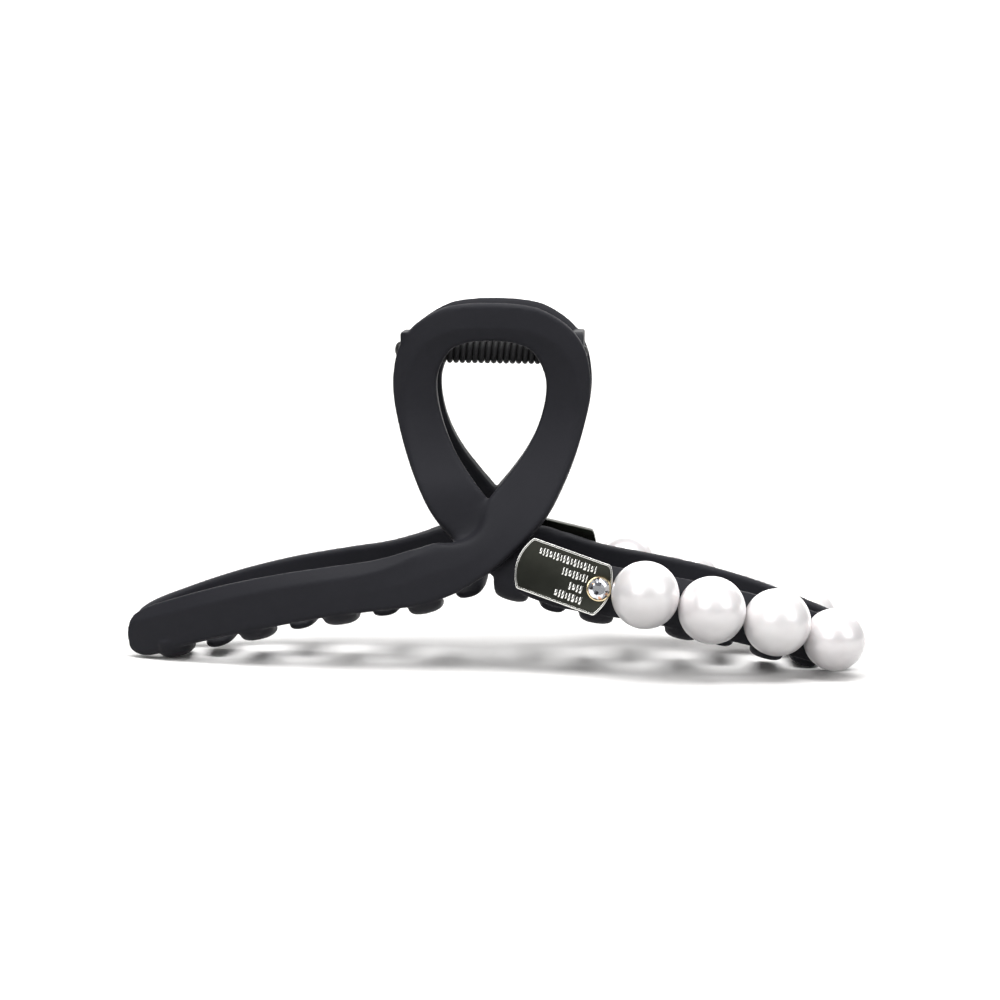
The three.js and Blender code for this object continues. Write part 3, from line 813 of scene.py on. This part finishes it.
# ---------------------------------------------------------------------------------------------
# Pearls: moulded plastic beads with a pearl lacquer, ground flat on one side and glued to the
# arm, three large ones and a smaller one at the tip of each row.
# ---------------------------------------------------------------------------------------------
pearl_lacquer, tree, shader = new_material("pearl_lacquer")
slow = grain(tree, shader, 500, 0.00001, 0.3, 0.38)
two_tone(tree, shader, slow, (0.81, 0.78, 0.785), (0.86, 0.84, 0.84))
shader.inputs["Metallic"].default_value = 0.22
shader.inputs["Coat Weight"].default_value = 1.0
shader.inputs["Coat IOR"].default_value = 1.5
shader.inputs["Coat Roughness"].default_value = 0.2
shader.inputs["Sheen Weight"].default_value = 0.08
shader.inputs["Sheen Tint"].default_value = (1.0, 0.93, 0.93, 1)
shader.inputs["Subsurface Weight"].default_value = 0.1
shader.inputs["Subsurface Radius"].default_value = (1.0, 0.7, 0.6)
shader.inputs["Subsurface Scale"].default_value = 0.002

pearl_count = 4
pearl_radius = 5.87
end_pearl_radius = 5.45
pearl_seat = 0.88       # share of the radius that stands off the arm
for row_name, side in (("front", 1), ("back", -1)):
    for count in range(1, pearl_count + 1):
        node = f"{row_name}_pearl_{count}"
        radius = end_pearl_radius if count == pearl_count else pearl_radius
        low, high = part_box(node)
        x = (low.x + high.x) / 2
        z = (low.z + high.z) / 2
        y = low.y + radius * mm if side > 0 else high.y - radius * mm
        bpy.ops.mesh.primitive_uv_sphere_add(
            segments=64, ring_count=40, radius=radius * mm, location=(x, y, z)
        )
        pearl = bpy.context.object
        pearl.name = f"{row_name}_bead_{count}"
        bpy.ops.object.transform_apply(location=True, rotation=True, scale=True)
        out = face_normal((x - clip_middle) / mm, (z - hinge_line) / mm + hinge_height)
        out.y *= side
        seat = Vector((x, y, z)) - out * (radius * pearl_seat * mm)
        bpy.ops.object.mode_set(mode="EDIT")
        bpy.ops.mesh.select_all(action="SELECT")
        bpy.ops.mesh.bisect(plane_co=seat, plane_no=out, use_fill=True, clear_inner=True)
        bpy.ops.object.mode_set(mode="OBJECT")
        work(
            pearl, "BEVEL", width=0.12 * mm, segments=2,
            limit_method="ANGLE", angle_limit=math.radians(25),
        )
        bpy.ops.object.shade_smooth_by_angle(angle=math.radians(30))
        pearl.data.materials.append(pearl_lacquer)
        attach(pearl, row_name + "_half")
        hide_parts(node)

# ---------------------------------------------------------------------------------------------
# Studio: a pale sweep that curves up behind, a broad light above, a soft box at each side, a
# wash on the backdrop, and the camera at the front, a little above and to the right.
# ---------------------------------------------------------------------------------------------
bpy.ops.mesh.primitive_plane_add(size=1, location=(0, 0, 0))
floor = bpy.context.object
floor.name = "pale_sweep"
floor.scale = (9, 5, 1)
bpy.ops.object.transform_apply(location=True, rotation=True, scale=True)
bpy.ops.object.mode_set(mode="EDIT")
bpy.ops.mesh.select_all(action="DESELECT")
bpy.ops.object.mode_set(mode="OBJECT")
for edge in floor.data.edges:
    edge.select = all(floor.data.vertices[v].co.y > 1 for v in edge.vertices)
bpy.ops.object.mode_set(mode="EDIT")
bpy.ops.mesh.select_mode(type="EDGE")
bpy.ops.mesh.extrude_region_move(TRANSFORM_OT_translate={"value": (0, 0, 4)})
bpy.ops.object.mode_set(mode="OBJECT")
work(floor, "BEVEL", width=1.2, segments=24, limit_method="ANGLE")
bpy.ops.object.shade_smooth()
paper, tree, shader = new_material("pale_paper")
shader.inputs["Base Color"].default_value = (0.93, 0.92, 0.91, 1)
shader.inputs["Roughness"].default_value = 0.9
floor.data.materials.append(paper)
floor.visible_diffuse = False
floor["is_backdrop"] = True


def panel(name, place, aim, size, power):
    light = bpy.data.lights.new(name, "AREA")
    light.shape = "RECTANGLE"
    light.size, light.size_y = size
    light.energy = power
    lamp = bpy.data.objects.new(name, light)
    lamp.location = place
    lamp.rotation_euler = (Vector(aim) - Vector(place)).to_track_quat("-Z", "Y").to_euler()
    bpy.context.scene.collection.objects.link(lamp)


panel("top_light", (0.0, -0.2, 0.68), (0, 0, 0.03), (0.8, 0.45), 7.0)
panel("left_softbox", (-0.42, -0.85, 0.5), (0, 0, 0.03), (0.65, 0.55), 3.2)
panel("right_softbox", (0.8, -0.55, 0.5), (0, 0, 0.03), (0.6, 0.55), 3.0)
panel("backdrop_wash", (0.0, 1.3, 1.3), (0, 2.2, 0.0), (3.0, 0.6), 75.0)
world = bpy.data.worlds.new("studio")
world.use_nodes = True
world.node_tree.nodes["Background"].inputs["Color"].default_value = (1, 1, 1, 1)
world.node_tree.nodes["Background"].inputs["Strength"].default_value = 0.22
bpy.context.scene.world = world
bpy.context.scene.view_settings.view_transform = "Standard"

yaw = math.radians(3.0)
rise = math.radians(7.0)
roll = math.radians(0.55)
distance = 0.509
aim_right = 0.00137
aim_below_hinge = 0.02667
aim = Vector((clip_middle + aim_right, middle_plane, hinge_line - aim_below_hinge))
back_way = Vector((
    math.sin(yaw) * math.cos(rise),
    -math.cos(yaw) * math.cos(rise),
    math.sin(rise),
))
right_way = Vector((math.cos(yaw), math.sin(yaw), 0))
up_way = back_way.cross(right_way)
camera_right = right_way * math.cos(roll) + up_way * math.sin(roll)
camera_up = up_way * math.cos(roll) - right_way * math.sin(roll)
spot = aim + back_way * distance
camera = bpy.data.objects.new("camera", bpy.data.cameras.new("camera"))
camera.matrix_world = Matrix((
    (camera_right.x, camera_up.x, back_way.x, spot.x),
    (camera_right.y, camera_up.y, back_way.y, spot.y),
    (camera_right.z, camera_up.z, back_way.z, spot.z),
    (0, 0, 0, 1),
))
camera.data.sensor_width = 36
camera.data.lens = 102.6
camera.data.clip_start = 0.01
bpy.context.scene.collection.objects.link(camera)
bpy.context.scene.camera = camera

low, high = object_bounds()
